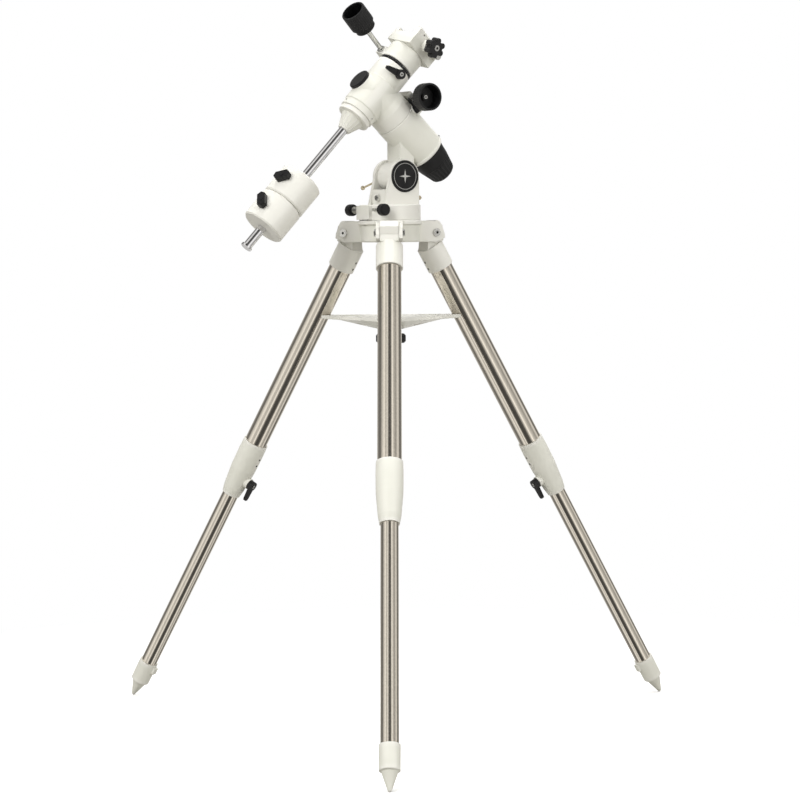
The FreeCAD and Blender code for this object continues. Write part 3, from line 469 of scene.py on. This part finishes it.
def studio_world():
    """White for the camera; soft vertical strips for what lights and reflections see."""
    strip_levels = (
        (-160, 0.60), (-138, 0.30), (-115, 0.16), (-105, 0.18), (-94, 0.50), (-78, 0.85),
        (-66, 1.05), (-56, 0.60), (-42, 0.60), (-32, 1.15), (-24, 0.40), (-17, 0.10),
        (0, 0.07), (21, 0.10), (30, 0.50), (42, 1.20), (51, 0.75), (64, 0.52), (80, 0.38),
        (97, 0.80), (107, 0.70), (117, 0.16), (138, 0.20), (160, 0.80))
    strip_strength = 1.14
    zenith_from, zenith_to = 0.93, 0.98
    world = bpy.data.worlds.new("studio")
    bpy.context.scene.world = world
    world.use_nodes = True
    tree = world.node_tree
    tree.nodes.clear()
    add = tree.nodes.new
    link = tree.links.new
    place = add("ShaderNodeTexCoord")
    parts = add("ShaderNodeSeparateXYZ")
    link(place.outputs["Generated"], parts.inputs["Vector"])
    # the angle round the object, 0 where the camera stands
    turn = add("ShaderNodeMath")
    turn.operation = "ARCTAN2"
    link(parts.outputs["X"], turn.inputs[0])
    flip = add("ShaderNodeMath")
    flip.operation = "MULTIPLY"
    flip.inputs[1].default_value = -1
    link(parts.outputs["Y"], flip.inputs[0])
    link(flip.outputs[0], turn.inputs[1])
    span = add("ShaderNodeMapRange")
    span.inputs["From Min"].default_value = -math.pi
    span.inputs["From Max"].default_value = math.pi
    link(turn.outputs[0], span.inputs["Value"])
    strips = add("ShaderNodeValToRGB")
    strips.color_ramp.interpolation = "EASE"
    points = strips.color_ramp.elements
    while len(points) < len(strip_levels):
        points.new(0.5)
    for point, (angle, level) in zip(points, strip_levels):
        point.position = (angle + 180) / 360
        point.color = (level, level * 0.98, level * 0.94, 1)
    link(span.outputs["Result"], strips.inputs["Fac"])
    # white straight overhead
    height = add("ShaderNodeMapRange")
    height.inputs["From Min"].default_value = zenith_from
    height.inputs["From Max"].default_value = zenith_to
    link(parts.outputs["Z"], height.inputs["Value"])
    sky = add("ShaderNodeMix")
    sky.data_type = "RGBA"
    link(height.outputs["Result"], sky.inputs["Factor"])
    link(strips.outputs["Color"], sky.inputs[MIX_FIRST])
    sky.inputs[MIX_SECOND].default_value = (1.0, 1.0, 1.0, 1)
    soft = add("ShaderNodeBackground")
    soft.inputs["Strength"].default_value = strip_strength
    link(sky.outputs[MIX_RESULT], soft.inputs["Color"])
    plain = add("ShaderNodeBackground")
    plain.inputs["Color"].default_value = (1, 1, 1, 1)
    plain.inputs["Strength"].default_value = 1.0
    path = add("ShaderNodeLightPath")
    choose = add("ShaderNodeMixShader")
    link(path.outputs["Is Camera Ray"], choose.inputs[0])
    link(soft.outputs[0], choose.inputs[1])
    link(plain.outputs[0], choose.inputs[2])
    out = add("ShaderNodeOutputWorld")
    link(choose.outputs[0], out.inputs["Surface"])


def area_light(name, place, power, size):
    """A soft lamp aimed at the middle of the mount, left out of reflections."""
    target = Vector((0, 0, 1.0))
    data = bpy.data.lights.new(name, "AREA")
    data.energy = power
    data.size = size
    item = bpy.data.objects.new(name, data)
    item.location = place
    item.rotation_euler = (target - Vector(place)).to_track_quat("-Z", "Y").to_euler()
    item.visible_glossy = False
    bpy.context.collection.objects.link(item)


def floor():
    """Pale paper that fades to white away from the feet, grey for the light it throws back."""
    half = 12.0
    fade_from, fade_to = 0.75, 1.7
    black, white = (0.0, 0.0, 0.0), (1.0, 1.0, 1.0)
    bounce = (0.42, 0.41, 0.38)
    mesh = bpy.data.meshes.new("floor")
    mesh.from_pydata([(-half, -half, 0), (half, -half, 0), (half, half, 0), (-half, half, 0)], [],
                     [(0, 1, 2, 3)])
    item = bpy.data.objects.new("floor", mesh)
    bpy.context.collection.objects.link(item)
    pale = Shader("floor_paper", (0.93, 0.93, 0.93), 0.0, 0.7)
    length = pale.tree.nodes.new("ShaderNodeVectorMath")
    length.operation = "LENGTH"
    pale.link(pale.place, length.inputs[0])
    away = pale.ramp(length.outputs["Value"], 0.0, 1.0, fade_from, fade_to)
    paper = pale.mix(pale.noise(3), (0.925, 0.925, 0.925), (0.935, 0.935, 0.935))
    seen_directly = pale.tree.nodes.new("ShaderNodeLightPath").outputs["Is Camera Ray"]
    seen = pale.mix(away, paper, black)
    pale.color(pale.mix(seen_directly, bounce, seen))
    glow = pale.mix(away, (0.25, 0.25, 0.25), white)
    pale.link(pale.mix(seen_directly, black, glow), pale.surface.inputs["Emission Color"])
    pale.surface.inputs["Emission Strength"].default_value = 1.0
    pale.surface.inputs["Specular IOR Level"].default_value = 0.0
    pale.bump(pale.noise(400), 0.02, 0.0002)
    mesh.materials.append(pale.material)
    item.location.z = -0.0005
    item.visible_glossy = False


def camera():
    """Standing in front, a little over a metre up, looking slightly down."""
    distance, eye_height = 5.675, 1.096
    orbit, look_down, roll = 0.8, 3.89, -0.5
    data = bpy.data.cameras.new("camera")
    data.sensor_width = 36.0
    data.lens = 117.3
    data.shift_x = 0.0107
    data.clip_end = 60
    item = bpy.data.objects.new("camera", data)
    stand = Matrix.Rotation(math.radians(orbit), 4, "Z") @ Matrix.Translation((0, -distance, eye_height))
    tilt = Matrix.Rotation(math.radians(90 - look_down), 4, "X")
    item.matrix_world = stand @ tilt @ Matrix.Rotation(math.radians(roll), 4, "Z")
    bpy.context.collection.objects.link(item)
    bpy.context.scene.camera = item


studio_world()
area_light("key", (-2.6, -3.2, 3.6), 140, 2.4)
area_light("fill", (3.2, -3.0, 2.2), 72, 2.6)
area_light("top", (0.3, 0.6, 4.2), 92, 2.4)
floor()
camera()
bpy.context.scene.view_settings.view_transform = "Standard"
